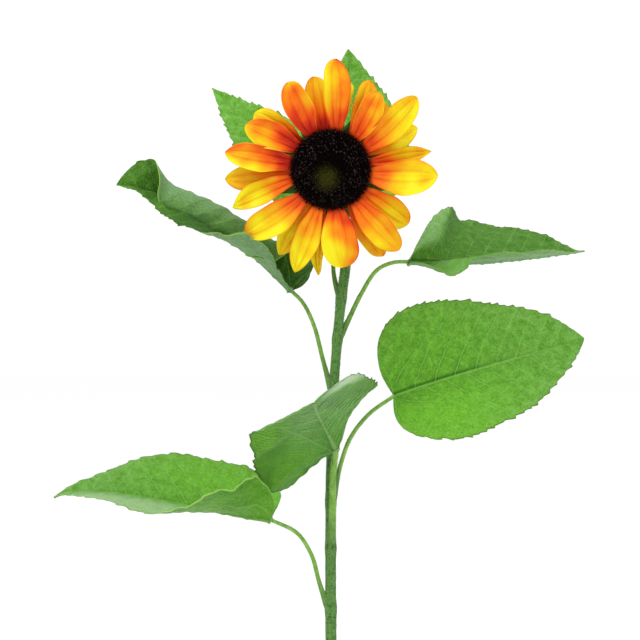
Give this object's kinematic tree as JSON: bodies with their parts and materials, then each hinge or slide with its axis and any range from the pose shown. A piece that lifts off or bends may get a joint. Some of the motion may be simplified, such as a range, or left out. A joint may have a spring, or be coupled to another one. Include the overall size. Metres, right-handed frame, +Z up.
{
  "type": "sunflower plant",
  "caption": "Dwarf sunflower plant rooted in the ground: a leaning stem, stalked heart-shaped leaves and a yellow to red flower head with a dark seed disc.",
  "frame": {"origin": "middle of the stem's flat cut at ground level", "axes": "+Z up along the stem; the flower head looks along -Y"},
  "size_m": [0.3252, 0.1692, 0.3994],
  "materials": {
    "stem_green": "hairy matt green stem",
    "stalk_green": "hairy pale green leaf stalk",
    "leaf_green": "soft green leaf with a paler ribbed underside",
    "bract_green": "matt dark green bract",
    "petal_yellow": "satin petal, red-orange at the root to yellow at the tip",
    "disc_brown": "rough dark brown florets"
  },
  "bodies": {
    "root": {"stem": "stem_green", "leaf_stalk_lower_left": "stalk_green", "leaf_stalk_front": "stalk_green", "leaf_stalk_right": "stalk_green", "leaf_stalk_upper_left": "stalk_green", "leaf_stalk_upper_right": "stalk_green", "leaf_stalk_back_left": "stalk_green", "leaf_stalk_back_top": "stalk_green", "leaf_lower_left": "leaf_green", "leaf_front": "leaf_green", "leaf_right": "leaf_green", "leaf_upper_left": "leaf_green", "leaf_upper_right": "leaf_green", "leaf_back_left": "leaf_green", "leaf_back_top": "leaf_green", "receptacle": "bract_green", "seed_disc": "disc_brown", "ray_petal_01": "petal_yellow", "ray_petal_02": "petal_yellow", "ray_petal_03": "petal_yellow", "ray_petal_04": "petal_yellow", "ray_petal_05": "petal_yellow", "ray_petal_06": "petal_yellow", "ray_petal_07": "petal_yellow", "ray_petal_08": "petal_yellow", "ray_petal_09": "petal_yellow", "ray_petal_10": "petal_yellow", "ray_petal_11": "petal_yellow", "ray_petal_12": "petal_yellow", "ray_petal_13": "petal_yellow", "ray_petal_14": "petal_yellow", "ray_petal_15": "petal_yellow", "ray_petal_16": "petal_yellow", "ray_petal_17": "petal_yellow", "ray_petal_18": "petal_yellow", "ray_petal_19": "petal_yellow", "ray_petal_20": "petal_yellow", "ray_petal_21": "petal_yellow", "ray_petal_22": "petal_yellow", "ray_petal_23": "petal_yellow", "ray_petal_24": "petal_yellow"}
  },
  "joints": []
}
